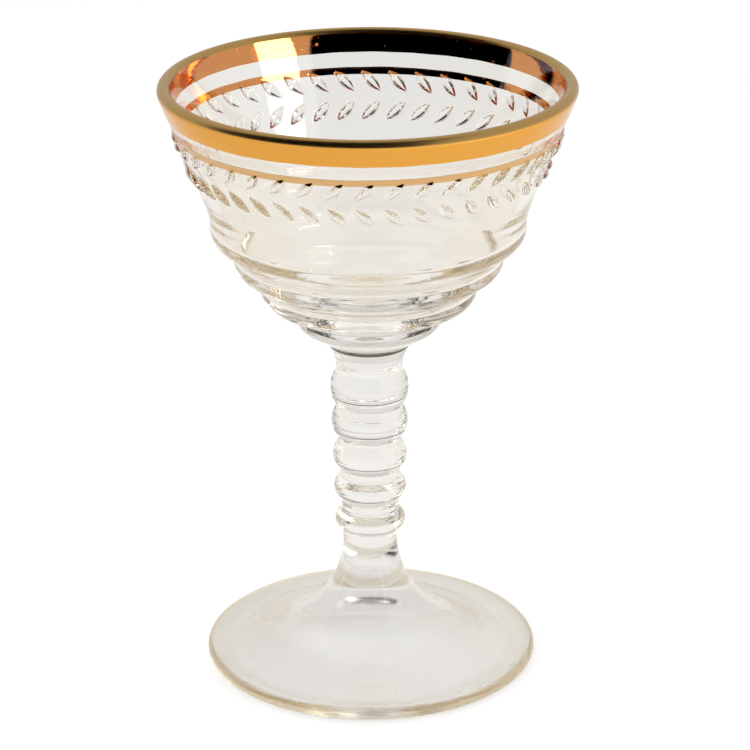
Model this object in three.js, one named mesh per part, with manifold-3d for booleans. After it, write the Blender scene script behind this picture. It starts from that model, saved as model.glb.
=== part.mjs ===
// Oyster cocktail glass in pressed clear glass: a round foot, a ringed stem, a stepped bowl with a laurel
// band in relief, and fired gold on the rim. Millimetres, +Z up. The origin is on the table, under the
// middle of the foot.

import * as THREE from 'three';
import { mergeVertices } from 'three/addons/utils/BufferGeometryUtils.js';
import Module from 'manifold-3d';

const wasm = await Module();
wasm.setup();

// Foot: a disc that sweeps up into the neck, with a flat resting ring and a bell-shaped hollow under it
const footRadius = 33.45;
const footEdgeThickness = 2.6;
const footHeight = 24.8;
const footSlopeWidth = 10;
const footSlopeRise = 1.44;
const footSlopeHandle = 8.3;
const footNeckHandle = 9.7;
const restingRingWidth = 4.5;
const hollowHeight = 12;
const hollowTopHandle = 8.3;
const hollowWaistRadius = 9;
const hollowWaistHeight = 4;

// Stem: a tapering core with rings that grow towards the bowl
const neckRadius = 5.45;
const stemCoreTopRadius = 6.6;
const stemTopRadius = 8.45;
const lowerNeckLength = 4.35;
const upperNeckLength = 9.8;
const stemFlareHeight = 5.5;
const ringCount = 5;
const ringPitch = 7.13;
const lowestRingRadius = 7.06;
const highestRingRadius = 7.79;
const lowestRingHalfHeight = 2.15;
const highestRingHalfHeight = 3.85;
const ringFullness = 1.3;

// Bowl outside, from the stem upwards: each tier steps out, rounds over and ends in a short upright wall
const firstTierStep = 6.1;
const firstTierHeight = 6.35;
const firstTierRound = 2.8;
const firstTierWall = 0.9;
const secondTierStep = 6.8;
const secondTierHeight = 6.3;
const secondTierRound = 3.6;
const secondTierWall = 1.15;
const thirdTierStep = 5.25;
const thirdTierHeight = 6.45;
const thirdTierRound = 3.7;
const thirdTierWall = 1.15;
const fourthTierStep = 4.4;
const fourthTierHeight = 6.7;
const fourthTierRound = 3.95;
const fourthTierWall = 1.3;
const tiers = [
  { step: firstTierStep, height: firstTierHeight, round: firstTierRound, wall: firstTierWall },
  { step: secondTierStep, height: secondTierHeight, round: secondTierRound, wall: secondTierWall },
  { step: thirdTierStep, height: thirdTierHeight, round: thirdTierRound, wall: thirdTierWall },
  { step: fourthTierStep, height: fourthTierHeight, round: fourthTierRound, wall: fourthTierWall },
];
const coveBelow = 1.8;
const coveAbove = 4.15;
const coneHeight = 24.25;
const rimRadius = 40.4;
const lipThickness = 2.5;

// Bowl inside: a cone, then steps behind all tiers but the lowest, then a small rounded bottom
const bowlWall = 2.8;
const innerConeRise = 1;
const innerCoveReach = 2.2;
const leastInnerRound = 0.3;
const bowlFloor = 5;
const innerBottomHandle = 2.5;
const innerFloorHandle = 8;

// Fired gold, drawn much thicker than the real film so that it is a solid
const goldFilm = 0.15;
const goldClearance = 0.05;
const goldBandHeight = 3.9;
const clearStripHeight = 2.8;
const hairlineHeight = 1.35;

// Laurel band: two rows of pointed leaves that open to the right from a shared root line
const leavesPerRow = 42;
const leafLength = 5.9;
const leafWidth = 2.2;
const leafRelief = 0.95;
const leafAngle = THREE.MathUtils.degToRad(45);
const leafRowGap = 1.4;
const leafTipGap = 0.3;
const firstLeafTurn = THREE.MathUtils.degToRad(38.2);

// Facets
const bowlSegments = 48;
const footSegments = 48;
const stemSegments = 24;
const arcSteps = 3;
const curveSteps = 8;
const stemStep = 0.9;
const leafSides = 6;
const leafSteps = 4;

// Outline helpers. A point of an outline is (radius, height).

function point(radius, height) {
  return new THREE.Vector2(radius, height);
}

function arc(centre, radius, from, to, steps) {
  const points = [];
  for (let i = 0; i <= steps; i += 1) {
    const angle = from + ((to - from) * i) / steps;
    points.push(point(centre.x + radius * Math.cos(angle), centre.y + radius * Math.sin(angle)));
  }
  return points;
}

// Where the line from a point outside a circle touches it. side 1 is the right of the line to the centre.
function touch(from, centre, radius, side) {
  const toCentre = centre.clone().sub(from);
  const distance = toCentre.length();
  const angle = toCentre.angle() - side * Math.asin(Math.min(1, radius / distance));
  const reach = Math.sqrt(Math.max(0, distance ** 2 - radius ** 2));
  return point(from.x + reach * Math.cos(angle), from.y + reach * Math.sin(angle));
}

function angleOn(centre, onCircle) {
  return Math.atan2(onCircle.y - centre.y, onCircle.x - centre.x);
}

// Turns an outline about the vertical axis. Points that repeat the one before them are dropped.
function turned(outline, segments) {
  const tooClose = 1e-4;
  const points = outline.filter((p, i) => i === 0 || p.distanceTo(outline[i - 1]) > tooClose);
  return new THREE.LatheGeometry(points, segments).rotateX(Math.PI / 2);
}

// Foot

function footGeometry() {
  const edge = footEdgeThickness / 2;
  const edgeCentre = point(footRadius - edge, edge);
  const slopeFoot = point(edgeCentre.x, footEdgeThickness);
  const slopeTop = point(slopeFoot.x - footSlopeWidth, slopeFoot.y + footSlopeRise);
  const slope = slopeTop.clone().sub(slopeFoot).normalize();
  const neck = point(neckRadius, footHeight);
  const trumpet = new THREE.CubicBezierCurve(
    slopeTop,
    slopeTop.clone().addScaledVector(slope, footSlopeHandle),
    point(neckRadius, footHeight - footNeckHandle),
    neck,
  );
  const ringInside = edgeCentre.x - restingRingWidth;
  const hollow = new THREE.CubicBezierCurve(
    point(0, hollowHeight),
    point(hollowTopHandle, hollowHeight),
    point(hollowWaistRadius, hollowWaistHeight),
    point(ringInside, 0),
  );
  const outline = [
    ...hollow.getPoints(curveSteps),
    ...arc(edgeCentre, edge, -Math.PI / 2, Math.PI / 2, 2 * arcSteps),
    ...trumpet.getPoints(curveSteps),
    point(0, footHeight),
  ];
  return turned(outline, footSegments);
}

// Stem, from its joint with the foot to its joint with the bowl

const ringsHeight = (ringCount - 1) * ringPitch;
const stemLength = lowerNeckLength + ringsHeight + upperNeckLength;

// Radius of the stem without its rings: a taper up to the top ring, then a flare into the bowl
function coreRadius(height) {
  const taper = Math.min(1, height / (lowerNeckLength + ringsHeight));
  const flare = Math.max(0, 1 - (stemLength - height) / stemFlareHeight);
  const tapered = neckRadius + (stemCoreTopRadius - neckRadius) * taper;
  return tapered + (stemTopRadius - stemCoreTopRadius) * flare ** 2;
}

function stemRadius(height) {
  const core = coreRadius(height);
  let radius = core;
  for (let ring = 0; ring < ringCount; ring += 1) {
    const share = ringCount > 1 ? ring / (ringCount - 1) : 0;
    const ringRadius = THREE.MathUtils.lerp(lowestRingRadius, highestRingRadius, share);
    const halfHeight = THREE.MathUtils.lerp(lowestRingHalfHeight, highestRingHalfHeight, share);
    const offset = Math.abs(height - lowerNeckLength - ring * ringPitch) / halfHeight;
    const swell = offset < 1 ? Math.cos((Math.PI / 2) * offset ** ringFullness) ** 2 : 0;
    radius = Math.max(radius, core + (ringRadius - core) * swell);
  }
  return radius;
}

function stemGeometry() {
  const steps = Math.ceil(stemLength / stemStep);
  const outline = [point(0, 0)];
  for (let i = 0; i <= steps; i += 1) {
    const height = (stemLength * i) / steps;
    outline.push(point(stemRadius(height), height));
  }
  outline.push(point(0, stemLength));
  return turned(outline, stemSegments);
}

// Bowl. Its own heights start at its joint with the stem.

// The crease at the foot of each tier, from the stem upwards, and last the top of the highest wall
const creases = [point(stemTopRadius, 0)];
for (const tier of tiers) {
  const below = creases.at(-1);
  creases.push(point(below.x + tier.step, below.y + tier.height));
}
const wallTop = creases.at(-1);
const lipRound = lipThickness / 2;

// The cone runs from a corner over the highest wall to the rounded lip
const coneCorner = point(wallTop.x, wallTop.y + coveBelow);
const lipCentre = point(rimRadius - lipRound, coneCorner.y + coneHeight);
const coneTop = touch(coneCorner, lipCentre, lipRound, 1);
const coneSlope = (coneTop.x - coneCorner.x) / (coneTop.y - coneCorner.y);

function coneRadius(height) {
  return coneCorner.x + coneSlope * (height - coneCorner.y);
}

// The rounded shoulder of each tier: its arc starts where the line from the crease below touches it
const shoulders = tiers.map(({ round, wall }, i) => {
  const crease = creases[i];
  const top = creases[i + 1];
  const centre = point(top.x - round, top.y - wall);
  const start = angleOn(centre, touch(crease, centre, round, 1));
  return { crease, top, centre, round, start };
});

function tierOutside({ top, centre, round, start }) {
  return [...arc(centre, round, start, 0, arcSteps), top];
}

// The same shoulder one wall further in, from top to bottom
function tierInside({ top, centre, round, start }) {
  const innerRound = Math.max(leastInnerRound, round - bowlWall);
  return arc(point(top.x - bowlWall - innerRound, centre.y), innerRound, 0, start, arcSteps);
}

// The inside cone starts one wall behind the highest tier
const innerCorner = point(wallTop.x - bowlWall, wallTop.y + innerConeRise);
const innerConeTop = touch(innerCorner, lipCentre, lipRound, -1);

// The inside under the cone, from top to bottom
function innerOutline() {
  const upCone = innerConeTop.clone().sub(innerCorner).normalize();
  const cove = new THREE.QuadraticBezierCurve(
    innerCorner.clone().addScaledVector(upCone, innerCoveReach),
    innerCorner,
    point(innerCorner.x, innerCorner.y - innerCoveReach),
  );
  const [, lowest, ...higher] = shoulders;
  const steps = higher.reverse().flatMap((shoulder) => [
    ...tierInside(shoulder),
    ...arc(shoulder.crease, bowlWall, shoulder.start + Math.PI, Math.PI, arcSteps),
  ]);
  const inwards = point(Math.cos(lowest.start + Math.PI), Math.sin(lowest.start + Math.PI));
  const bottomStart = lowest.crease.clone().addScaledVector(inwards, bowlWall);
  const bottom = new THREE.CubicBezierCurve(
    bottomStart,
    bottomStart.clone().addScaledVector(point(-inwards.y, inwards.x), innerBottomHandle),
    point(innerFloorHandle, bowlFloor),
    point(0, bowlFloor),
  );
  return [...cove.getPoints(arcSteps), ...steps, ...tierInside(lowest), ...bottom.getPoints(curveSteps)];
}

function bowlOutline() {
  const cove = new THREE.QuadraticBezierCurve(
    wallTop,
    coneCorner,
    point(coneRadius(coneCorner.y + coveAbove), coneCorner.y + coveAbove),
  );
  return [
    point(0, 0),
    creases[0],
    ...shoulders.flatMap(tierOutside),
    ...cove.getPoints(arcSteps),
    ...arc(lipCentre, lipRound, angleOn(lipCentre, coneTop), angleOn(lipCentre, innerConeTop), 2 * arcSteps),
    ...innerOutline(),
  ];
}

// Fired gold. Each film lies on the cone, and the wide one goes on over the lip.

// A point that stands off the cone by the given amount, at a height on the cone
function offCone(height, standOff) {
  const length = Math.hypot(1, coneSlope);
  return point(coneRadius(height) + standOff / length, height - (standOff * coneSlope) / length);
}

const bandBottom = lipCentre.y - goldBandHeight;
const hairlineTop = bandBottom - clearStripHeight;
const hairlineBottom = hairlineTop - hairlineHeight;

function bandFace(standOff) {
  const from = angleOn(lipCentre, coneTop);
  const to = angleOn(lipCentre, innerConeTop);
  return [offCone(bandBottom, standOff), ...arc(lipCentre, lipRound + standOff, from, to, 2 * arcSteps)];
}

function hairlineFace(standOff) {
  return [offCone(hairlineBottom, standOff), offCone(hairlineTop, standOff)];
}

// A film between its outer face and its inner face, both given from bottom to top
function filmGeometry(face) {
  const outer = face(goldClearance + goldFilm);
  const inner = face(goldClearance).reverse();
  return turned([...outer, ...inner, outer[0]], bowlSegments);
}

// Laurel leaves

// A pointed oval of revolution, bounded by two equal arcs, flattened to the relief
function leafGeometry() {
  const half = leafLength / 2;
  const bow = (half ** 2 + (leafWidth / 2) ** 2) / leafWidth;
  const outline = [];
  for (let i = 0; i <= leafSteps; i += 1) {
    const along = half * Math.sin(Math.PI * (i / leafSteps - 0.5));
    const isTip = i === 0 || i === leafSteps;
    const width = isTip ? 0 : Math.sqrt(bow ** 2 - along ** 2) - bow + leafWidth / 2;
    outline.push(point(width, along));
  }
  return new THREE.LatheGeometry(outline, leafSides).scale(1, 1, leafRelief / (leafWidth / 2));
}

// Where a leaf lies: its length runs along the cone at the given lean, its relief points out of the cone
function leafPlace(turn, height, lean) {
  const outward = new THREE.Vector3(Math.sin(turn), -Math.cos(turn), 0);
  const around = new THREE.Vector3(Math.cos(turn), Math.sin(turn), 0);
  const upCone = outward.clone().multiplyScalar(coneSlope).add(new THREE.Vector3(0, 0, 1)).normalize();
  const offSurface = around.clone().cross(upCone);
  const along = around.clone().multiplyScalar(Math.cos(lean)).addScaledVector(upCone, Math.sin(lean));
  const across = along.clone().cross(offSurface);
  const place = new THREE.Matrix4().makeBasis(across, along, offSurface);
  return place.setPosition(outward.multiplyScalar(coneRadius(height)).setZ(height));
}

function leafPlaces() {
  const rise = (leafLength * Math.sin(leafAngle)) / Math.hypot(1, coneSlope);
  const upperHeight = hairlineBottom - leafTipGap - rise / 2;
  const lowerHeight = upperHeight - rise - leafRowGap;
  const places = [];
  for (const row of [{ height: upperHeight, lean: leafAngle }, { height: lowerHeight, lean: -leafAngle }]) {
    const reach = (leafLength * Math.cos(leafAngle)) / coneRadius(row.height);
    for (let i = 0; i < leavesPerRow; i += 1) {
      const turn = firstLeafTurn + reach / 2 + (2 * Math.PI * i) / leavesPerRow;
      places.push(leafPlace(turn, row.height, row.lean));
    }
  }
  return places;
}

// Solids for joining: shared points are merged, and triangles that close up on the axis are left out

function solidOf(geometry) {
  const bare = geometry.clone();
  bare.deleteAttribute('normal');
  bare.deleteAttribute('uv');
  const merged = mergeVertices(bare);
  const index = merged.index.array;
  const triangles = [];
  for (let i = 0; i < index.length; i += 3) {
    const [a, b, c] = [index[i], index[i + 1], index[i + 2]];
    if (a !== b && b !== c && c !== a) {
      triangles.push(a, b, c);
    }
  }
  const vertProperties = new Float32Array(merged.attributes.position.array);
  const triVerts = new Uint32Array(triangles);
  return new wasm.Manifold(new wasm.Mesh({ numProp: 3, vertProperties, triVerts }));
}

function geometryOf(solid) {
  const mesh = solid.getMesh();
  const geometry = new THREE.BufferGeometry();
  geometry.setAttribute('position', new THREE.BufferAttribute(mesh.vertProperties, 3));
  geometry.setIndex(new THREE.BufferAttribute(mesh.triVerts, 1));
  geometry.computeVertexNormals();
  return geometry;
}

function bowlGeometry() {
  const leaf = leafGeometry();
  let bowl = solidOf(turned(bowlOutline(), bowlSegments));
  for (const place of leafPlaces()) {
    bowl = bowl.add(solidOf(leaf.clone().applyMatrix4(place)));
  }
  return geometryOf(bowl);
}

// Materials: clear glass with a faint warm tint, and bright fired gold

function clearGlass() {
  return new THREE.MeshStandardMaterial({
    color: 0xebe5da, roughness: 0.04, metalness: 0, transparent: true, opacity: 0.35,
  });
}

function firedGold() {
  return new THREE.MeshStandardMaterial({ color: 0xe0a245, roughness: 0.16, metalness: 1 });
}

// Assembly: the foot on the table, the stem on the foot, the gilded bowl on the stem

function piece(name, geometry, material) {
  const mesh = new THREE.Mesh(geometry, material);
  mesh.name = name;
  return mesh;
}

const foot = piece('foot', footGeometry(), clearGlass());

const stem = piece('stem', stemGeometry(), clearGlass());
stem.position.z = footHeight;

const gildedBowl = new THREE.Group();
gildedBowl.position.z = footHeight + stemLength;
gildedBowl.add(
  piece('bowl', bowlGeometry(), clearGlass()),
  piece('rim_gold_band', filmGeometry(bandFace), firedGold()),
  piece('gold_hairline', filmGeometry(hairlineFace), firedGold()),
);

const cocktailGlass = new THREE.Group();
cocktailGlass.name = 'oyster_cocktail_glass';
cocktailGlass.add(foot, stem, gildedBowl);

export default cocktailGlass;
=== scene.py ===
"""Oyster cocktail glass in pressed clear glass with fired gold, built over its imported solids.

Metres, +Z up. The origin is on the table under the middle of the foot, and -Y is the side that the camera
sees. A turn is an angle round the glass that starts at -Y and runs towards +X.
"""

import math
from typing import NamedTuple

import bpy
import numpy as np
from bpy.props import FloatProperty, FloatVectorProperty, IntProperty, PointerProperty
from bpy.types import Operator, Panel, PropertyGroup
from mathutils import Euler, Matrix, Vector


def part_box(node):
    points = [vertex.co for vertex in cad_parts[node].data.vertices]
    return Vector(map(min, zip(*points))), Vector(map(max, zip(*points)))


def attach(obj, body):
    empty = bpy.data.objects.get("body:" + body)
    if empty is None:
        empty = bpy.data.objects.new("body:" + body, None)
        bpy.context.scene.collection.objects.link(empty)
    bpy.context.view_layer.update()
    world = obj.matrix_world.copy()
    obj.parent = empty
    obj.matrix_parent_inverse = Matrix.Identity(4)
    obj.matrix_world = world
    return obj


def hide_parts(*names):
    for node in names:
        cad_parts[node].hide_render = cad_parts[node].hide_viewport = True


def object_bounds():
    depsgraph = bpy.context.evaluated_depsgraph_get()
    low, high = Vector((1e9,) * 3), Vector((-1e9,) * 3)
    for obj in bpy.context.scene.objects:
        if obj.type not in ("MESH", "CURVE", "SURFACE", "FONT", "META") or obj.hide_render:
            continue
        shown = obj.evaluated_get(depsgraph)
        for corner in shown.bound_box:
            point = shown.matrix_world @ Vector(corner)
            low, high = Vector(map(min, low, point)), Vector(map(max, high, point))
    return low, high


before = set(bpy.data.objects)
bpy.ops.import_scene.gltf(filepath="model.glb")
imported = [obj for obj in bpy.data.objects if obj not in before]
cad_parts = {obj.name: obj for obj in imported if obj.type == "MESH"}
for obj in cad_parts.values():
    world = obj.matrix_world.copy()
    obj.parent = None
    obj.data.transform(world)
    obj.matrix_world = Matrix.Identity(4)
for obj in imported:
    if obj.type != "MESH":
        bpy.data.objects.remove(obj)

bl_info = {
    "name": "Oyster Cocktail Glass",
    "version": (1, 0, 0),
    "blender": (4, 5, 0),
    "location": "View3D > Sidebar > Cocktail Glass",
    "description": "Builds a pressed cocktail glass with a laurel band and a gilded rim",
    "category": "Add Mesh",
}

MM = 0.001
CAD_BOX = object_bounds()
FOOT_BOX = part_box("foot")
STEM_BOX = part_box("stem")

# Finishes of the faces of the glass pieces, in the order of their material slots
# The crease finish is glass with painted shade on the near side of the grooves
GLASS, GILT, FUSED, WORN, MATT, SHADED_CREASE = range(6)

# Bounces of light in the glass over which it turns amber, and over which it counts as trapped
AMBER_BOUNCES = 2, 13
TRAPPED_BOUNCES = 8, 13

# In half widths of a groove: where it has faded out, and how much of it gets painted shade on a ring and at
# the bowl
GROOVE_REACH = 2.4
RING_SHADE = 0.6
BOWL_SHADE = 2.2


def length(name, description, default):
    return FloatProperty(name=name, description=description, default=default, min=0, unit="LENGTH")


def lengths(name, description, millimetres):
    default = [value * MM for value in millimetres]
    return FloatVectorProperty(name=name, description=description, default=default, size=len(default),
                               min=0, unit="LENGTH")


def angle(name, description, degrees):
    return FloatProperty(name=name, description=description, default=math.radians(degrees), subtype="ANGLE")


def colour(name, description, default):
    return FloatVectorProperty(name=name, description=description, default=default, size=3,
                               min=0, max=1, subtype="COLOR")


def level(name, description, default):
    return FloatProperty(name=name, description=description, default=default, min=0)


class FootSizes(PropertyGroup):
    """Sizes of the foot"""

    radius: length("Radius", "Outside radius of the foot", FOOT_BOX[1].x)
    height: length("Height", "From the table to the joint with the stem", FOOT_BOX[1].z)
    edge_thickness: length("Edge Thickness", "Thickness of the rounded edge", 2.6 * MM)
    slope_width: length("Slope Width", "Width of the flat slope inside the edge", 10 * MM)
    slope_rise: length("Slope Rise", "Rise of the flat slope", 1.44 * MM)
    slope_handle: length("Slope Handle", "Pull of the slope on the trumpet curve", 8.3 * MM)
    neck_handle: length("Neck Handle", "Pull of the neck on the trumpet curve", 9.7 * MM)
    resting_ring: length("Resting Ring", "Width of the flat ring that stands on the table", 4.5 * MM)
    hollow_height: length("Hollow Height", "Height of the bell-shaped hollow under the foot", 12 * MM)
    hollow_handle: length("Hollow Handle", "Pull of the top on the curve of the hollow", 8.3 * MM)
    hollow_waist: lengths("Hollow Waist", "Radius and height that draw the hollow in at its waist", (9, 4))
    worn_width: length("Worn Width", "Width of the worn part of the resting ring", 0.6 * MM)
    seam_turn: angle("Seam Turn", "Turn of the mould seam", 6)
    seam_height: length("Seam Height", "How far the mould seam stands out", 0.06 * MM)
    seam_width: length("Seam Width", "Half width of the mould seam", 0.14 * MM)


class StemSizes(PropertyGroup):
    """Sizes of the stem"""

    neck_radius: length("Neck Radius", "Radius at the joint with the foot", 5.45 * MM)
    core_top_radius: length("Core Top Radius", "Radius of the core at the top ring", 6.6 * MM)
    top_radius: length("Top Radius", "Radius at the joint with the bowl", STEM_BOX[1].x)
    lower_neck: length("Lower Neck", "From the foot to the middle of the lowest ring", 4.35 * MM)
    flare_height: length("Flare Height", "Height of the flare into the bowl", 5.5 * MM)
    ring_count: IntProperty(name="Rings", description="Number of rings", default=5, min=2)
    ring_pitch: length("Ring Pitch", "From the middle of one ring to the next", 7.13 * MM)
    ring_radii: lengths("Ring Radii", "Radius of the lowest and of the highest ring", (7.06, 7.79))
    ring_halves: lengths("Ring Half Heights", "Half height of the lowest and the highest ring", (2.15, 3.85))
    ring_fullness: level("Ring Fullness", "How full a ring is; higher is squarer", 1.3)
    ring_edge: level("Ring Edge", "How softly a ring ends; higher is softer", 1.1)
    crease: length("Crease", "Softness of the crease between two rings", 0.04 * MM)
    groove: lengths("Groove", "Depth and half width of each groove on a ring or under the bowl", (0.16, 0.17))
    groove_rises: lengths("Groove Rises", "Crease to groove on the lowest and the highest ring", (0.9, 2.2))
    ripple: length("Ripple", "Height of the fine ripples left by the mould", 0.012 * MM)


class BowlSizes(PropertyGroup):
    """Sizes of the bowl, from the stem upwards"""

    tier_steps: lengths("Tier Steps", "How far each tier steps out", (6.1, 6.8, 5.25, 4.4))
    tier_heights: lengths("Tier Heights", "Height of each tier", (6.35, 6.3, 6.45, 6.7))
    tier_rounds: lengths("Tier Rounds", "Radius of each tier's shoulder", (2.8, 3.6, 3.7, 3.95))
    tier_walls: lengths("Tier Walls", "Upright wall over each shoulder", (0.9, 1.15, 1.15, 1.3))
    crease: length("Crease", "Reach of the small fillet in each crease", 0.45 * MM)
    cove_below: length("Cove Below", "Reach of the cove below the corner of the cone", 1.8 * MM)
    cove_above: length("Cove Above", "Reach of the cove above the corner of the cone", 4.15 * MM)
    cone_height: length("Cone Height", "From the corner of the cone to the middle of the lip", 24.25 * MM)
    rim_radius: length("Rim Radius", "Outside radius of the lip", 40.4 * MM)
    lip: length("Lip", "Thickness of the lip", 2.5 * MM)
    wall: length("Wall", "Wall behind the tiers", 2.8 * MM)
    inner_rise: length("Inner Rise", "Height of the inside cone over the highest tier", 1 * MM)
    inner_cove: length("Inner Cove", "Reach of the cove at the foot of the inside cone", 2.2 * MM)
    floor: length("Floor", "Thickness of the glass over the stem", 5 * MM)
    inner_bottom_handle: length("Inner Bottom Handle", "Pull of the steps on the bottom", 2.5 * MM)
    inner_floor_handle: length("Inner Floor Handle", "Pull of the floor on the bottom", 8 * MM)


class GoldSizes(PropertyGroup):
    """Sizes of the fired gold"""

    band_height: length("Band Height", "From the middle of the lip to the lower edge of the band", 3.9 * MM)
    clear_strip: length("Clear Strip", "Bare glass between band and hairline", 2.8 * MM)
    hairline: length("Hairline", "Height of the hairline", 1.35 * MM)
    film: length("Film", "Thickness of the film", 0.05 * MM)
    clearance: length("Clearance", "Gap between film and glass", 0.03 * MM)
    wander: length("Wander", "How far the hand-drawn edges wander", 0.05 * MM)


class LeafSizes(PropertyGroup):
    """Sizes of the laurel band"""

    count: IntProperty(name="Leaves", description="Leaves in each of the two rows", default=42, min=3)
    length: length("Length", "Length of a leaf", 5.9 * MM)
    width: length("Width", "Width of a leaf", 2.2 * MM)
    relief: length("Relief", "How far a leaf stands out of the bowl", 0.95 * MM)
    lean: angle("Lean", "Angle of a leaf to the rim", 45)
    row_gap: length("Row Gap", "Gap between the two rows at their roots", 1.4 * MM)
    tip_reach: length("Tip Reach", "How far the upper tips reach under the hairline", 0.5 * MM)
    first_turn: angle("First Turn", "Turn of a leaf's root", 38.2)


class Finishes(PropertyGroup):
    """Colours of the glass and the gold"""

    glass_face: colour("Glass Face", "Tint of the glass seen square on", (0.985, 0.967, 0.932))
    glass_edge: colour("Glass Edge", "Tint of the glass seen along its surface", (0.94, 0.87, 0.73))
    glass_deep: colour("Glass Deep", "Tint of light that stays long in the glass", (0.78, 0.66, 0.46))
    glass_shade: colour("Glass Shade", "Lamp light that one face of the glass passes", (0.85, 0.85, 0.85))
    hollow: colour("Hollow", "Tint of the hollow under the foot", (0.985, 0.985, 0.99))
    # Painted shade: a nearly black tint on the near side of the grooves
    crease: colour("Crease", "Tint of the grooves on the rings and under the bowl", (0.02, 0.016, 0.01))
    worn_face: colour("Worn Face", "Tint of the worn edge of the foot seen square on", (0.97, 0.9, 0.72))
    worn_edge: colour("Worn Edge", "Tint of the worn edge of the foot seen along it", (0.92, 0.76, 0.45))
    gold: colour("Gold", "Colour of the fired gold", (0.86, 0.42, 0.075))
    gold_deep: colour("Gold Deep", "Colour of the thicker strokes of the gold", (0.8, 0.36, 0.055))
    # Painted reflection: the lip's gold is darker and greyer, as if it mirrored a dim room
    gold_lip: colour("Gold Lip", "Colour of the worn gold on the lip", (0.5, 0.31, 0.1))
    gilt: colour("Gilt", "Colour of the gold seen through the glass", (0.84, 0.36, 0.11))
    gilt_deep: colour("Gilt Deep", "Colour of its thicker strokes", (0.74, 0.27, 0.06))
    hairline: colour("Hairline", "Colour of the worn gold of the hairline", (0.8, 0.52, 0.26))
    hairline_deep: colour("Hairline Deep", "Colour of its thicker strokes", (0.7, 0.4, 0.15))


class Studio(PropertyGroup):
    """Camera, floor and light"""

    lens: FloatProperty(name="Lens", description="Focal length on a 36 mm sensor, in millimetres",
                        default=146.31, min=1)
    camera: FloatVectorProperty(name="Camera", description="Place of the camera", size=3,
                                default=(0, -564.54 * MM, 281.71 * MM), subtype="TRANSLATION", unit="LENGTH")
    pitch: angle("Pitch", "How far the camera looks down", 21.45)
    yaw: angle("Yaw", "How far the camera looks to the right of the axis", 0.113)
    roll: angle("Roll", "How far the camera leans", 0.3)
    floor: colour("Floor", "Colour of the floor", (0.86, 0.86, 0.86))
    floor_glow: level("Floor Glow", "Light added to the floor as metal and glass see it", 0.13)
    floor_caustic: level("Floor Caustic", "The same under the foot, which gathers light there", 0.2)
    backdrop_glow: level("Backdrop Glow", "Light added to the floor as the camera sees it", 0.27)
    fill: level("Fill", "Light of the room on matt surfaces", 1)
    softbox: FloatProperty(name="Softbox", description="Power of the softbox on the right",
                           default=3.2, min=0, unit="POWER")
    softbox_size: lengths("Softbox Size", "Width and height of the softbox", (360, 340))


# Outlines. A point of an outline is (radius, height).


def point(radius, height):
    return np.array((radius, height))


def towards(start, end):
    return (end - start) / math.dist(start, end)


def arc(centre, radius, start, end, steps):
    turns = np.linspace(start, end, steps + 1)
    return centre + radius * np.column_stack((np.cos(turns), np.sin(turns)))


def bezier(handles, steps):
    """Points on the curve that three or four handles give."""
    points = np.array([handles] * (steps + 1))
    share = np.linspace(0, 1, steps + 1)[:, None, None]
    while points.shape[1] > 1:
        points = points[:, :-1] * (1 - share) + points[:, 1:] * share
    return points[:, 0]


def fillet(before, corner, after, reach, steps):
    start = corner + reach * towards(corner, before)
    end = corner + reach * towards(corner, after)
    return bezier((start, corner, end), steps)


def touch(start, centre, radius, side):
    """Where the line from a point outside a circle touches it. Side 1 is the right of the centre."""
    gap = centre - start
    distance = math.hypot(*gap)
    direction = math.atan2(gap[1], gap[0]) - side * math.asin(min(1, radius / distance))
    reach = math.sqrt(max(0, distance**2 - radius**2))
    return start + reach * point(math.cos(direction), math.sin(direction))


def angle_on(centre, on_circle):
    return math.atan2(on_circle[1] - centre[1], on_circle[0] - centre[0])


def spaced(points, gap):
    """The outline with points added so that no two are further apart than the gap."""
    result = [points[0]]
    for start, end in zip(points, points[1:]):
        steps = max(1, math.ceil(math.dist(start, end) / gap))
        if math.dist(start, end) < 1e-7:
            continue
        result += [start + (end - start) * i / steps for i in range(1, steps + 1)]
    return np.array(result)


# Turned meshes


class Row(NamedTuple):
    """A ring of points round the axis, with the finish of the faces that lead to the next row."""

    turns: np.ndarray
    radii: np.ndarray
    heights: np.ndarray
    finish: int = GLASS
    sharp: bool = False


def row(turns, radius, height, finish=GLASS, sharp=False):
    return Row(turns, np.zeros_like(turns) + radius, np.zeros_like(turns) + height, finish, sharp)


def turned_mesh(name, rows, closed=False):
    """A mesh of the rows. They run from the axis round the outline to the axis, or closed, round a ring."""
    points = []
    rings = []
    start = 0
    for turns, radii, heights, _, _ in rows:
        ring = np.column_stack((radii * np.sin(turns), -radii * np.cos(turns), heights))
        if radii.max() < 1e-9:
            ring = ring[:1]
        points.append(ring)
        rings.append(np.arange(start, start + len(ring)))
        start += len(ring)
    faces = []
    finishes = []
    pairs = list(zip(rings, rings[1:] + rings[:1], rows))
    for lower, upper, this in pairs if closed else pairs[:-1]:
        if len(lower) == 1:
            corners = (np.resize(lower, len(upper)), np.roll(upper, -1), upper)
        elif len(upper) == 1:
            corners = (lower, np.roll(lower, -1), np.resize(upper, len(lower)))
        else:
            corners = (lower, np.roll(lower, -1), np.roll(upper, -1), upper)
        faces += np.column_stack(corners).tolist()
        finishes += [this.finish] * max(len(lower), len(upper))
    mesh = bpy.data.meshes.new(name)
    mesh.from_pydata(np.concatenate(points).tolist(), [], faces)
    mesh.polygons.foreach_set("material_index", finishes)
    mesh.shade_smooth()
    ring_of = np.concatenate([np.full(len(ring), i) for i, ring in enumerate(rings)])
    sharp_rows = np.array([this.sharp for this in rows])
    ends = np.zeros(2 * len(mesh.edges), dtype=int)
    mesh.edges.foreach_get("vertices", ends)
    first, second = ring_of[ends[::2]], ring_of[ends[1::2]]
    sharp = (first == second) & sharp_rows[first]
    mesh.attributes.new("sharp_edge", "BOOLEAN", "EDGE").data.foreach_set("value", sharp)
    mesh.validate()
    return mesh


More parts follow.
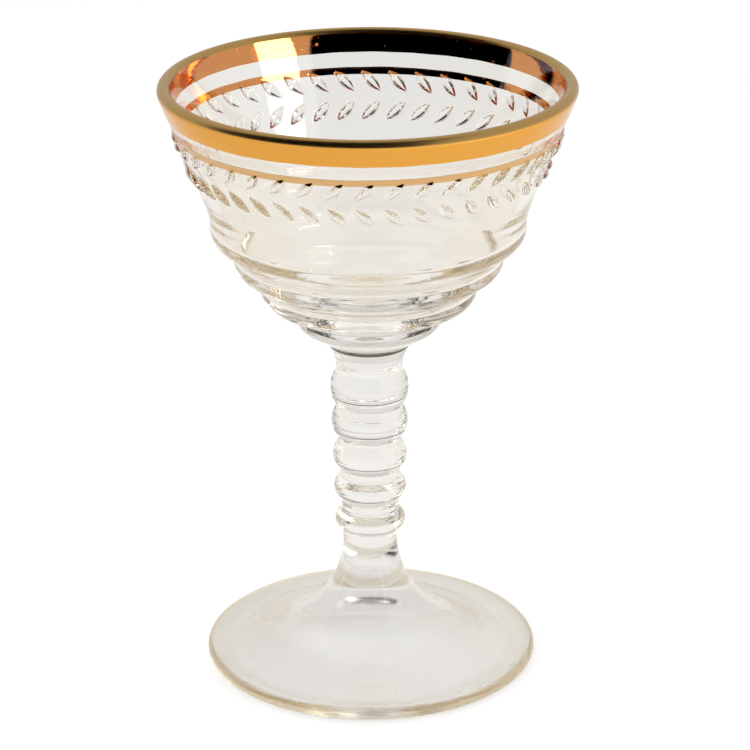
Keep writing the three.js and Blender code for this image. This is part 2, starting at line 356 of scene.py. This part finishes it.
def add_piece(name, mesh, node, materials):
    """The piece of the object that stands for a node of the frame."""
    piece = bpy.data.objects.new(name, mesh)
    bpy.context.scene.collection.objects.link(piece)
    for material in materials:
        mesh.materials.append(material)
    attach(piece, "root")
    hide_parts(node)
    return piece


# Materials


def add_node(tree, kind, inputs=None, **settings):
    """A shader node. An input is a value, or the socket of another node to link it to."""
    node = tree.nodes.new(kind)
    for key, value in settings.items():
        setattr(node, key, value)
    for key, value in (inputs or {}).items():
        if isinstance(value, bpy.types.NodeSocket):
            tree.links.new(value, node.inputs[key])
        else:
            node.inputs[key].default_value = value
    return node


def new_material(name):
    material = bpy.data.materials.new(name)
    material.use_nodes = True
    material.node_tree.nodes.clear()
    return material, material.node_tree


def finish_material(tree, shader):
    add_node(tree, "ShaderNodeOutputMaterial", {"Surface": shader})


def noise(tree, where, scale, detail=2.0):
    inputs = {"Vector": where, "Scale": scale, "Detail": detail}
    return add_node(tree, "ShaderNodeTexNoise", inputs).outputs["Fac"]


def mapped(tree, value, low, high, to_low, to_high):
    inputs = {"Value": value, "From Min": low, "From Max": high, "To Min": to_low, "To Max": to_high}
    return add_node(tree, "ShaderNodeMapRange", inputs, interpolation_type="SMOOTHSTEP").outputs["Result"]


def mixed_colour(tree, factor, first, second):
    """A mix of two colours, each a value or the socket of another node."""
    node = add_node(tree, "ShaderNodeMix", data_type="RGBA")
    tree.links.new(factor, node.inputs["Factor"])
    for socket, value in zip((node.inputs[6], node.inputs[7]), (first, second)):
        if isinstance(value, bpy.types.NodeSocket):
            tree.links.new(value, socket)
        else:
            socket.default_value = (*value, 1)
    return node.outputs[2]


def glass_surface(name, finishes, face, edge, waviness, roughness, shade=None):
    """Glass that ambers from the face to the edge tint where light runs along it or stays in it.

    Waviness is the scale and the strength of its waves. Roughness is the least and the most of it. Shade
    is painted shade, a tint on the near side of the glass, where it differs.
    """
    if name in bpy.data.materials:
        return bpy.data.materials[name]
    material, tree = new_material(name)
    where = add_node(tree, "ShaderNodeTexCoord").outputs["Object"]
    waves = noise(tree, where, waviness[0])
    bump = add_node(tree, "ShaderNodeBump", {"Height": waves, "Strength": waviness[1], "Distance": 0.4 * MM})
    path = add_node(tree, "ShaderNodeLightPath").outputs
    facing = add_node(tree, "ShaderNodeLayerWeight", {"Blend": 0.35}).outputs["Facing"]
    crossed = mapped(tree, path["Ray Depth"], *AMBER_BOUNCES, 0, 1)
    amber = add_node(tree, "ShaderNodeMath", {0: facing, 1: crossed}, operation="MAXIMUM").outputs[0]
    tint = mixed_colour(tree, amber, face, edge)
    if shade:
        far_side = add_node(tree, "ShaderNodeNewGeometry").outputs["Backfacing"]
        tint = mixed_colour(tree, far_side, shade, tint)
    glass = add_node(tree, "ShaderNodeBsdfPrincipled", {
        "Base Color": tint,
        "Roughness": mapped(tree, noise(tree, where, 260, 4), 0.52, 0.75, *roughness),
        "IOR": 1.52,
        "Transmission Weight": 1,
        "Normal": bump.outputs["Normal"],
    })
    trapped = mapped(tree, path["Ray Depth"], *TRAPPED_BOUNCES, 0, 1)
    scattered = add_node(tree, "ShaderNodeBsdfTranslucent", {"Color": (*finishes.glass_deep, 1)})
    clear = add_node(tree, "ShaderNodeBsdfTransparent", {"Color": (*finishes.glass_shade, 1)})
    lit = add_node(tree, "ShaderNodeMixShader", {0: trapped, 1: glass.outputs[0], 2: scattered.outputs[0]})
    shadowed = {0: path["Is Shadow Ray"], 1: lit.outputs[0], 2: clear.outputs[0]}
    finish_material(tree, add_node(tree, "ShaderNodeMixShader", shadowed).outputs[0])
    return material


def clear_glass(finishes):
    """Fire-polished glass, a little wavy from the mould."""
    tints = finishes.glass_face, finishes.glass_edge
    return glass_surface("pressed_glass", finishes, *tints, (110, 0.12), (0, 0.035))


def matt_glass(finishes):
    """The hollow under the foot, as the plunger left it."""
    tints = finishes.hollow, finishes.hollow
    return glass_surface("matt_hollow", finishes, *tints, (110, 0.12), (0.18, 0.26))


def worn_glass(finishes):
    """The edge of the foot, rubbed by tables and amber like thick glass."""
    tints = finishes.worn_face, finishes.worn_edge
    return glass_surface("worn_edge", finishes, *tints, (600, 0.1), (0, 0.1))


def crease_shade_glass(finishes):
    """The fine grooves on the rings and under the bowl, darkened on their near side with painted shade."""
    tints = finishes.glass_face, finishes.glass_edge
    return glass_surface("deep_crease", finishes, *tints, (110, 0.12), (0, 0.035), finishes.crease)


def fused_glass():
    """The face where two glass pieces are fused: there is no surface to see."""
    name = "fused_joint"
    if name in bpy.data.materials:
        return bpy.data.materials[name]
    material, tree = new_material(name)
    finish_material(tree, add_node(tree, "ShaderNodeBsdfTransparent").outputs[0])
    return material


def fired_gold(name, bright, deep, lip, smooth):
    """Gold, laid on with a brush on a turning wheel, with the odd worn fleck and a worn lip whose darker
    colour is a painted reflection.
    """
    if name in bpy.data.materials:
        return bpy.data.materials[name]
    material, tree = new_material(name)
    where = add_node(tree, "ShaderNodeTexCoord").outputs["Object"]
    along = add_node(tree, "ShaderNodeMapping", {"Vector": where, "Scale": (1, 1, 40)}).outputs["Vector"]
    strokes = noise(tree, along, 45, 5)
    flecks = mapped(tree, noise(tree, where, 900, 1), 0.72, 0.78, 0, 1)
    bump = add_node(tree, "ShaderNodeBump", {"Height": strokes, "Strength": 0.05, "Distance": 0.1 * MM})
    height = add_node(tree, "ShaderNodeSeparateXYZ", {0: where}).outputs["Z"]
    rim = CAD_BOX[1].z
    # The lip is rougher with wear, and darker by a painted reflection of a dim room
    worn = mapped(tree, height, rim - 1.6 * MM, rim - 0.9 * MM, 0, 1)
    brushed = mixed_colour(tree, strokes, deep, bright)
    rough = {0: mapped(tree, flecks, 0, 1, smooth, 0.4), 1: mapped(tree, worn, 0, 1, 0, 0.32)}
    gold = add_node(tree, "ShaderNodeBsdfPrincipled", {
        "Base Color": mixed_colour(tree, worn, brushed, lip),
        "Metallic": 1,
        "Roughness": add_node(tree, "ShaderNodeMath", rough, operation="MAXIMUM").outputs[0],
        "Normal": bump.outputs["Normal"],
    })
    finish_material(tree, gold.outputs[0])
    return material


def band_gold(finishes):
    return fired_gold("bright_gold", finishes.gold, finishes.gold_deep, finishes.gold_lip, 0.06)


def gilt_behind_glass(finishes):
    return fired_gold("gilt_behind_glass", finishes.gilt, finishes.gilt_deep, finishes.gilt_deep, 0.02)


def hairline_gold(finishes):
    return fired_gold("worn_gold", finishes.hairline, finishes.hairline_deep, finishes.hairline, 0.2)


def glass_finishes(finishes):
    """The materials of a glass piece, in the order of the finishes of its faces."""
    return (clear_glass(finishes), gilt_behind_glass(finishes), fused_glass(), worn_glass(finishes),
            matt_glass(finishes), crease_shade_glass(finishes))


# Shapes of the glass


class BowlOutline:
    """Where the bowl's tiers, cone, lip and gilding lie."""

    def __init__(self, scene):
        bowl, gold, stem = scene.glass_bowl, scene.glass_gold, scene.glass_stem
        self.bowl = bowl
        self.creases = [point(stem.top_radius, STEM_BOX[1].z)]
        for step, height in zip(bowl.tier_steps, bowl.tier_heights):
            self.creases.append(self.creases[-1] + point(step, height))
        self.base = self.creases[0][1]
        self.cone_corner = self.creases[-1] + point(0, bowl.cove_below)
        self.lip_round = bowl.lip / 2
        self.lip_centre = point(bowl.rim_radius - self.lip_round, self.cone_corner[1] + bowl.cone_height)
        self.cone_top = touch(self.cone_corner, self.lip_centre, self.lip_round, 1)
        run = self.cone_top - self.cone_corner
        self.slope = run[0] / run[1]
        self.stretch = math.hypot(1, self.slope)
        self.shoulders = []
        tiers = zip(self.creases, self.creases[1:], bowl.tier_rounds, bowl.tier_walls)
        for crease, top, round_, wall in tiers:
            centre = top - point(round_, wall)
            self.shoulders.append((centre, round_, angle_on(centre, touch(crease, centre, round_, 1))))
        self.inner_corner = self.creases[-1] + point(-bowl.wall, bowl.inner_rise)
        self.inner_top = touch(self.inner_corner, self.lip_centre, self.lip_round, -1)
        self.band_bottom = self.lip_centre[1] - gold.band_height
        self.hairline_top = self.band_bottom - gold.clear_strip
        self.hairline_bottom = self.hairline_top - gold.hairline

    def cone_radius(self, height):
        return self.cone_corner[0] + self.slope * (height - self.cone_corner[1])

    def off_cone(self, height, stand_off):
        """Radius and height of what stands off the cone by the given amount."""
        radius = self.cone_radius(height) + stand_off / self.stretch
        return radius, height - stand_off * self.slope / self.stretch

    def tiers(self):
        """The outside from the first crease to the start of the cone."""
        bowl = self.bowl
        shoulders = [arc(centre, round_, start, 0, 8) for centre, round_, start in self.shoulders]
        parts = [self.creases[:1]]
        for i, shoulder in enumerate(shoulders):
            if i > 0:
                before = shoulders[i - 1][-1]
                parts.append(fillet(before, self.creases[i], shoulder[0], bowl.crease, 4))
            parts.append(shoulder)
        cone_start = self.cone_corner[1] + bowl.cove_above
        cone_point = point(self.cone_radius(cone_start), cone_start)
        parts.append(bezier((self.creases[-1], self.cone_corner, cone_point), 10))
        return spaced(np.concatenate(parts), 1.2 * MM)

    def lip(self, stand_off, steps):
        start = angle_on(self.lip_centre, self.cone_top)
        end = angle_on(self.lip_centre, self.inner_top)
        return arc(self.lip_centre, self.lip_round + stand_off, start, end, steps)

    def inside(self):
        """The inside from the lip to the axis: a cone, steps behind three tiers, a small bottom."""
        bowl = self.bowl
        corner = self.inner_corner
        parts = [[self.inner_top], fillet(self.inner_top, corner, corner - point(0, 1), bowl.inner_cove, 8)]
        for i in range(len(self.shoulders) - 1, 0, -1):
            centre, round_, start = self.shoulders[i]
            parts.append(arc(centre, round_ - bowl.wall, 0, start, 6))
            if i > 1:
                parts.append(arc(self.creases[i], bowl.wall, start + math.pi, math.pi, 8))
        inwards = point(-math.cos(start), -math.sin(start))
        bottom_start = self.creases[1] + bowl.wall * inwards
        floor = self.base + bowl.floor
        parts.append(bezier((
            bottom_start,
            bottom_start + bowl.inner_bottom_handle * point(-inwards[1], inwards[0]),
            point(bowl.inner_floor_handle, floor),
            point(0, floor),
        ), 30))
        return spaced(np.concatenate(parts), 1.2 * MM)


class LaurelBand:
    """The two rows of leaves on the cone of the bowl."""

    def __init__(self, scene, outline):
        leaf = scene.glass_leaf
        self.leaf = leaf
        self.outline = outline
        self.pitch = math.tau / leaf.count
        self.rise = leaf.length * math.sin(leaf.lean) / outline.stretch
        self.upper = outline.hairline_bottom + leaf.tip_reach - self.rise / 2
        self.lower = self.upper - self.rise - leaf.row_gap

    def reach(self, middle):
        """The turn that a leaf of a row takes up from root to tip."""
        return self.leaf.length * math.cos(self.leaf.lean) / self.outline.cone_radius(middle)

    def columns(self):
        """Turns of the mesh columns at the roots: close together across a leaf, wider between leaves."""
        on_leaf = np.linspace(-0.31, 0.31, 15)
        between = np.linspace(0.31, 0.69, 7)[1:-1]
        shares = np.concatenate((on_leaf, between))
        leaves = np.arange(self.leaf.count)[:, None]
        return self.leaf.first_turn + self.pitch * (leaves + shares).ravel()

    def lean_at(self, height):
        """How far the columns have turned with the leaves at a height."""
        half = self.rise / 2
        heights = (self.lower - half, self.lower + half, self.upper - half, self.upper + half)
        return np.interp(height, heights, (self.reach(self.lower), 0, 0, self.reach(self.upper)))

    def heights(self):
        """Heights of the mesh rows, from the lower tips to the hairline."""
        half = self.rise / 2 + 0.15 * MM
        low = np.linspace(self.lower - half, self.lower + half, 34)
        high = np.linspace(self.upper - half, self.outline.hairline_bottom - 0.1 * MM, 32)
        gap = np.linspace(low[-1], high[0], 6)[1:-1]
        return np.concatenate((low, gap, high))

    def row_relief(self, turns, height, middle, side):
        leaf = self.leaf
        out = side * (height - middle) * self.outline.stretch
        radius = self.outline.cone_radius(height)
        axis = leaf.first_turn + self.reach(middle) / 2 + out / math.tan(leaf.lean) / radius
        beside = radius * ((turns - axis + self.pitch / 2) % self.pitch - self.pitch / 2)
        along = (out / math.sin(leaf.lean) + beside * math.cos(leaf.lean)) / leaf.length + 0.5
        across = beside * math.sin(leaf.lean)
        swell = np.sin(math.pi * np.clip(along, 0, 1) ** 1.12)
        half_width = np.maximum(leaf.width / 2 * swell, 1e-9)
        section = np.clip(1 - (across / half_width) ** 2, 0, 1) ** 1.2
        return leaf.relief * swell**0.8 * section

    def relief(self, turns, height):
        upper = self.row_relief(turns, height, self.upper, 1)
        return np.maximum(upper, self.row_relief(turns, height, self.lower, -1))


def wander(turns, amount, seed):
    """A slow unsteadiness of the brush round the glass."""
    waves = [math.sin(seed * k) * np.sin(k * turns + seed * k**2) for k in (2, 5, 9, 17, 31)]
    return amount * sum(waves) / 2


def gold_edges(scene, outline, turns):
    """Heights of the edges of the gold: lower and upper edge of the hairline, lower edge of the band."""
    amount = scene.glass_gold.wander
    low = outline.hairline_bottom + wander(turns, amount, 1.3)
    high = outline.hairline_top + wander(turns, amount, 2.1)
    band = outline.band_bottom + wander(turns, amount, 3.7)
    return low, high, band


def hairline_heights(low, high):
    """Heights of the rows of the hairline: close together where leaf tips reach under it."""
    return [low + (high - low) * share for share in (0, 0.1, 0.2, 0.3, 0.4, 0.6, 1)]


def bowl_rows(scene):
    outline = BowlOutline(scene)
    laurel = LaurelBand(scene, outline)
    columns = laurel.columns()
    turns = columns + laurel.lean_at(outline.base)
    rows = [row(turns, 0, outline.base, FUSED)]
    rows += [row(turns, radius, height) for radius, height in outline.tiers()]
    rows[1] = rows[1]._replace(sharp=True)
    heights = laurel.heights()
    cone_start = rows[-1].heights[0]
    for height in np.linspace(cone_start, heights[0], 6)[1:-1]:
        rows.append(row(turns, outline.cone_radius(height), height))
    for height in heights:
        turns = columns + laurel.lean_at(height)
        radius, level_ = outline.off_cone(height, laurel.relief(turns, height))
        rows.append(row(turns, radius, level_))
    low, high, band = gold_edges(scene, outline, turns)
    for height in hairline_heights(low, high):
        radius, level_ = outline.off_cone(height, laurel.relief(turns, height))
        rows.append(row(turns, radius, level_, GILT))
    rows[-1] = rows[-1]._replace(finish=GLASS)
    rows.append(row(turns, outline.cone_radius(band), band, GILT))
    rows += [row(turns, radius, height, GILT) for radius, height in outline.lip(0, 14)]
    rows[-1] = rows[-1]._replace(finish=GLASS)
    rows += [row(turns, radius, height) for radius, height in outline.inside()[1:]]
    return rows


def film_rows(turns, outer, inner):
    """A thin closed ring from its outer and inner faces, both from bottom to top."""
    rows = []
    for face in (outer, inner[::-1]):
        rows += [row(turns, radius, height) for radius, height in face]
        rows[-1] = rows[-1]._replace(sharp=True)
        rows[-len(face)] = rows[-len(face)]._replace(sharp=True)
    return rows


def gold_rows(scene):
    """Rows of the band and of the hairline."""
    outline = BowlOutline(scene)
    laurel = LaurelBand(scene, outline)
    gold = scene.glass_gold
    turns = laurel.columns() + laurel.lean_at(outline.hairline_bottom)
    low, high, band = gold_edges(scene, outline, turns)
    inner = gold.clearance
    outer = gold.clearance + gold.film
    band_faces = []
    hairline_faces = []
    for stand_off in (outer, inner):
        band_faces.append([outline.off_cone(band, stand_off), *outline.lip(stand_off, 14)])
        hairline_faces.append([
            outline.off_cone(height, stand_off + laurel.relief(turns, height))
            for height in hairline_heights(low, high)
        ])
    return film_rows(turns, *band_faces), film_rows(turns, *hairline_faces)


def seamed_turns(scene, steps):
    """Turns of the columns of the foot, with extra ones at the two mould seams."""
    near = np.radians((0, 0.25, 0.5, 0.9, 1.4, 2))
    seam = scene.glass_foot.seam_turn
    extra = [seam + side * near + half for side in (-1, 1) for half in (0, math.pi)]
    turns = np.concatenate([np.linspace(0, math.tau, steps, endpoint=False), *extra]) % math.tau
    turns = np.sort(turns)
    keep = np.diff(np.append(turns, turns[0] + math.tau)) > math.radians(0.1)
    return turns[keep]


def seam_relief(scene, turns, radius):
    """The mould seam: a fine ridge that starts under the neck and fades out on the foot."""
    foot = scene.glass_foot
    off = (turns - foot.seam_turn + math.pi / 2) % math.pi - math.pi / 2
    fade = np.interp(radius, (7 * MM, 8 * MM, 12 * MM, 20 * MM), (0, 1, 1, 0))
    return foot.seam_height * fade * np.exp(-((radius * off / foot.seam_width) ** 2))


def stem_radius(stem, height, total):
    """Radius of the stem at a height over the foot: a taper, a flare into the bowl, and rings."""
    rings = np.arange(stem.ring_count)
    share = rings / (stem.ring_count - 1)
    middles = stem.lower_neck + rings * stem.ring_pitch
    taper = min(1, height / middles[-1])
    flare = max(0, 1 - (total - height) / stem.flare_height)
    core = stem.neck_radius + (stem.core_top_radius - stem.neck_radius) * taper
    core += (stem.top_radius - stem.core_top_radius) * flare**2
    radii = stem.ring_radii[0] + (stem.ring_radii[1] - stem.ring_radii[0]) * share
    halves = stem.ring_halves[0] + (stem.ring_halves[1] - stem.ring_halves[0]) * share
    offset = np.clip(np.abs(height - middles) / halves, 0, 1)
    swells = core + (radii - core) * np.cos(math.pi / 2 * offset**stem.ring_fullness) ** stem.ring_edge
    highest, second = np.sort(swells)[::-1][:2]
    if second <= core:
        return highest
    return (highest + second + math.hypot(highest - second, stem.crease)) / 2


def groove_heights(stem, total):
    """Heights over the foot of the fine grooves low on each ring, and of the one under the bowl."""
    rings = np.arange(stem.ring_count)
    ends = 0, stem.ring_count - 1
    halves = np.interp(rings, ends, stem.ring_halves)
    rises = np.interp(rings, ends, stem.groove_rises)
    creases = stem.lower_neck + rings * stem.ring_pitch - np.minimum(halves, stem.ring_pitch / 2)
    return np.append(creases + rises, total - GROOVE_REACH * stem.groove[1])


def groove(stem, height, total):
    depth, width = stem.groove
    return depth * np.exp(-(((height - groove_heights(stem, total)) / width) ** 2)).sum()


def ripple(stem, height, total):
    """Fine ripples of the chilled glass. They die away at both joints."""
    spans = (0.83, 1.21, 1.74, 2.9)
    waves = sum(math.sin(math.tau * height / (span * MM) + span * 9) for span in spans)
    return stem.ripple * waves * min(1, height / MM, (total - height) / MM)


def stem_rows(scene):
    stem = scene.glass_stem
    base, top = STEM_BOX[0].z, STEM_BOX[1].z
    turns = np.linspace(0, math.tau, 120, endpoint=False)
    rows = [row(turns, 0, base, FUSED)]
    total = top - base
    grooves = groove_heights(stem, total)
    across = np.linspace(-GROOVE_REACH, GROOVE_REACH, 13) * stem.groove[1]
    close = grooves[:, None] + across
    heights = np.sort(np.concatenate((np.linspace(0, total, 240), close.ravel())))
    heights = heights[np.append(np.diff(heights) > 0.01 * MM, True)]
    for height in heights:
        radius = stem_radius(stem, height, total) + ripple(stem, height, total) - groove(stem, height, total)
        *from_rings, from_bowl = np.abs(height - grooves) / stem.groove[1]
        # Rows at the grooves get the finish with painted shade
        shaded = min(from_rings) < RING_SHADE or from_bowl < BOWL_SHADE
        rows.append(row(turns, radius, base + height, SHADED_CREASE if shaded else GLASS))
    rows[1] = rows[1]._replace(sharp=True)
    rows[-1] = rows[-1]._replace(finish=FUSED, sharp=True)
    rows.append(row(turns, 0, top))
    return rows


def foot_rows(scene):
    foot, stem = scene.glass_foot, scene.glass_stem
    turns = seamed_turns(scene, 200)
    edge = foot.edge_thickness / 2
    edge_centre = point(foot.radius - edge, edge)
    slope_foot = edge_centre + point(0, edge)
    slope_top = slope_foot + point(-foot.slope_width, foot.slope_rise)
    ring_inside = edge_centre[0] - foot.resting_ring
    hollow = bezier((
        point(0, foot.hollow_height),
        point(foot.hollow_handle, foot.hollow_height),
        point(*foot.hollow_waist),
        point(ring_inside, 0),
    ), 60)
    trumpet = bezier((
        slope_top,
        slope_top + foot.slope_handle * towards(slope_foot, slope_top),
        point(stem.neck_radius, foot.height - foot.neck_handle),
        point(stem.neck_radius, foot.height),
    ), 50)
    rim = arc(edge_centre, edge, -math.pi / 2, math.pi / 2, 14)
    outline = spaced(np.concatenate((hollow, rim, trumpet)), 1.5 * MM)
    rows = []
    for i, (radius, height) in enumerate(outline):
        finish = MATT if i < len(hollow) else GLASS
        if height < 1.6 * edge and radius > edge_centre[0] - foot.worn_width:
            finish = WORN
        rows.append(row(turns, radius + seam_relief(scene, turns, radius), height, finish))
    rows[-1] = rows[-1]._replace(finish=FUSED, sharp=True)
    rows.append(row(turns, 0, foot.height))
    return rows


# Stage


def build_floor(studio):
    """A plain pale floor. It keeps the shadow, and camera, metal and glass each see it a little brighter."""
    half = 4
    corners = [(-half, -half, 0), (half, -half, 0), (half, half, 0), (-half, half, 0)]
    mesh = bpy.data.meshes.new("studio_floor")
    mesh.from_pydata(corners, [], [(0, 1, 2, 3)])
    floor = bpy.data.objects.new("studio_floor", mesh)
    floor.location.z = -0.05 * MM
    bpy.context.scene.collection.objects.link(floor)
    material, tree = new_material("pale_floor")
    matt = add_node(tree, "ShaderNodeBsdfDiffuse", {"Color": (*studio.floor, 1)})
    path = add_node(tree, "ShaderNodeLightPath").outputs
    mirrored = {0: path["Is Glossy Ray"], 1: path["Is Transmission Ray"]}
    seen = add_node(tree, "ShaderNodeMath", mirrored, operation="MAXIMUM")
    where = add_node(tree, "ShaderNodeTexCoord").outputs["Object"]
    off_axis = add_node(tree, "ShaderNodeVectorMath", {0: where}, operation="LENGTH").outputs["Value"]
    under = mapped(tree, off_axis, 24 * MM, 38 * MM, studio.floor_caustic, studio.floor_glow)
    glow = add_node(tree, "ShaderNodeMath", {0: seen.outputs[0], 1: under}, operation="MULTIPLY")
    inputs = {0: path["Is Camera Ray"], 1: studio.backdrop_glow, 2: glow.outputs[0]}
    glow = add_node(tree, "ShaderNodeMath", inputs, operation="MULTIPLY_ADD")
    light = add_node(tree, "ShaderNodeEmission", {"Strength": glow.outputs[0]})
    both = add_node(tree, "ShaderNodeAddShader", {0: matt.outputs[0], 1: light.outputs[0]})
    finish_material(tree, both.outputs[0])
    mesh.materials.append(material)


def direction(azimuth, elevation):
    """Unit vector towards a place round the glass, in degrees. Azimuth 0 is the camera's side."""
    turn, rise = math.radians(azimuth), math.radians(elevation)
    return Vector((math.sin(turn) * math.cos(rise), -math.cos(turn) * math.cos(rise), math.sin(rise)))


def build_room(studio):
    """A white room with a dark camera side and a dim ceiling, which metal and glass reflect."""
    world = bpy.data.worlds.new("studio_room")
    bpy.context.scene.world = world
    world.use_nodes = True
    tree = world.node_tree
    tree.nodes.clear()
    world.cycles.sampling_method = "NONE"
    look = add_node(tree, "ShaderNodeTexCoord").outputs["Generated"]

    def nearness(azimuth, elevation):
        inputs = {0: look, 1: direction(azimuth, elevation)}
        return add_node(tree, "ShaderNodeVectorMath", inputs, operation="DOT_PRODUCT").outputs["Value"]

    def mixed(factor, first, second):
        inputs = {"Factor": factor, "A": first, "B": second}
        return add_node(tree, "ShaderNodeMix", inputs, data_type="FLOAT").outputs["Result"]

    wall = mapped(tree, nearness(-31, 25), 0.485, 0.515, 0.95, 0)
    ceiling = mapped(tree, nearness(0, 72), 0.82, 0.92, 1, 0.1)
    room = add_node(tree, "ShaderNodeMath", {0: wall, 1: ceiling}, operation="MULTIPLY")
    path = add_node(tree, "ShaderNodeLightPath").outputs
    shown = mixed(path["Diffuse Depth"], room.outputs[0], studio.fill)
    seen = mixed(path["Is Camera Ray"], shown, 1)
    light = add_node(tree, "ShaderNodeBackground", {"Strength": seen})
    add_node(tree, "ShaderNodeOutputWorld", {"Surface": light.outputs[0]})


def build_softbox(studio):
    lamp = bpy.data.lights.new("softbox", "AREA")
    lamp.shape = "RECTANGLE"
    lamp.size, lamp.size_y = studio.softbox_size
    lamp.energy = studio.softbox
    box = bpy.data.objects.new("softbox", lamp)
    away = direction(58, 20)
    box.location = Vector((0, 0, 0.08)) + 0.9 * away
    box.rotation_euler = away.to_track_quat("Z", "Y").to_euler()
    box.visible_glossy = False
    bpy.context.scene.collection.objects.link(box)


def build_camera(studio):
    data = bpy.data.cameras.new("camera")
    data.sensor_width = 36
    data.lens = studio.lens
    camera = bpy.data.objects.new("camera", data)
    camera.location = studio.camera
    turn = Euler((math.pi / 2 - studio.pitch, 0, -studio.yaw), "XYZ").to_matrix()
    lean = Euler((0, 0, -studio.roll), "XYZ").to_matrix()
    camera.rotation_euler = (turn @ lean).to_euler()
    bpy.context.scene.collection.objects.link(camera)
    bpy.context.scene.camera = camera


# Operators


class GLASS_OT_bowl(Operator):
    """Build the stepped bowl with its laurel band"""

    bl_idname = "glass.bowl"
    bl_label = "Bowl"

    def execute(self, context):
        materials = glass_finishes(context.scene.glass_finishes)
        mesh = turned_mesh("stepped_bowl", bowl_rows(context.scene))
        add_piece("stepped_bowl", mesh, "bowl", materials)
        return {"FINISHED"}


class GLASS_OT_stem(Operator):
    """Build the ringed stem"""

    bl_idname = "glass.stem"
    bl_label = "Stem"

    def execute(self, context):
        materials = glass_finishes(context.scene.glass_finishes)
        mesh = turned_mesh("ringed_stem", stem_rows(context.scene))
        add_piece("ringed_stem", mesh, "stem", materials)
        return {"FINISHED"}


class GLASS_OT_foot(Operator):
    """Build the round foot"""

    bl_idname = "glass.foot"
    bl_label = "Foot"

    def execute(self, context):
        materials = glass_finishes(context.scene.glass_finishes)
        mesh = turned_mesh("round_foot", foot_rows(context.scene))
        add_piece("round_foot", mesh, "foot", materials)
        return {"FINISHED"}


class GLASS_OT_gold(Operator):
    """Build the gold band on the rim and the hairline under it"""

    bl_idname = "glass.gold"
    bl_label = "Gold"

    def execute(self, context):
        finishes = context.scene.glass_finishes
        band, hairline = gold_rows(context.scene)
        band_mesh = turned_mesh("gold_band", band, True)
        hairline_mesh = turned_mesh("gold_line", hairline, True)
        add_piece("gold_band", band_mesh, "rim_gold_band", [band_gold(finishes)])
        add_piece("gold_line", hairline_mesh, "gold_hairline", [hairline_gold(finishes)])
        return {"FINISHED"}


class GLASS_OT_stage(Operator):
    """Build the floor, the light and the camera"""

    bl_idname = "glass.stage"
    bl_label = "Stage"

    def execute(self, context):
        studio = context.scene.glass_studio
        build_floor(studio)
        build_room(studio)
        build_softbox(studio)
        build_camera(studio)
        context.scene.view_settings.view_transform = "Standard"
        context.scene.cycles.max_bounces = 40
        context.scene.cycles.transmission_bounces = 40
        context.scene.cycles.glossy_bounces = 12
        context.scene.cycles.transparent_max_bounces = 24
        return {"FINISHED"}


class GLASS_PT_panel(Panel):
    """Sizes, colours and makers of the cocktail glass"""

    bl_idname = "GLASS_PT_panel"
    bl_label = "Cocktail Glass"
    bl_space_type = "VIEW_3D"
    bl_region_type = "UI"
    bl_category = "Cocktail Glass"

    def draw(self, context):
        for group in GROUPS:
            settings = getattr(context.scene, group)
            box = self.layout.box()
            for key in settings.__annotations__:
                box.prop(settings, key)
        for operator in OPERATORS:
            self.layout.operator(operator.bl_idname)


GROUPS = {
    "glass_foot": FootSizes,
    "glass_stem": StemSizes,
    "glass_bowl": BowlSizes,
    "glass_gold": GoldSizes,
    "glass_leaf": LeafSizes,
    "glass_finishes": Finishes,
    "glass_studio": Studio,
}
OPERATORS = (GLASS_OT_foot, GLASS_OT_stem, GLASS_OT_bowl, GLASS_OT_gold, GLASS_OT_stage)


def register():
    for kind in (*GROUPS.values(), *OPERATORS, GLASS_PT_panel):
        bpy.utils.register_class(kind)
    for group, kind in GROUPS.items():
        setattr(bpy.types.Scene, group, PointerProperty(type=kind))


def unregister():
    for group in GROUPS:
        delattr(bpy.types.Scene, group)
    for kind in reversed((*GROUPS.values(), *OPERATORS, GLASS_PT_panel)):
        bpy.utils.unregister_class(kind)


def main():
    register()
    bpy.ops.glass.foot()
    bpy.ops.glass.stem()
    bpy.ops.glass.bowl()
    bpy.ops.glass.gold()
    bpy.ops.glass.stage()


if __name__ == "__main__":
    main()
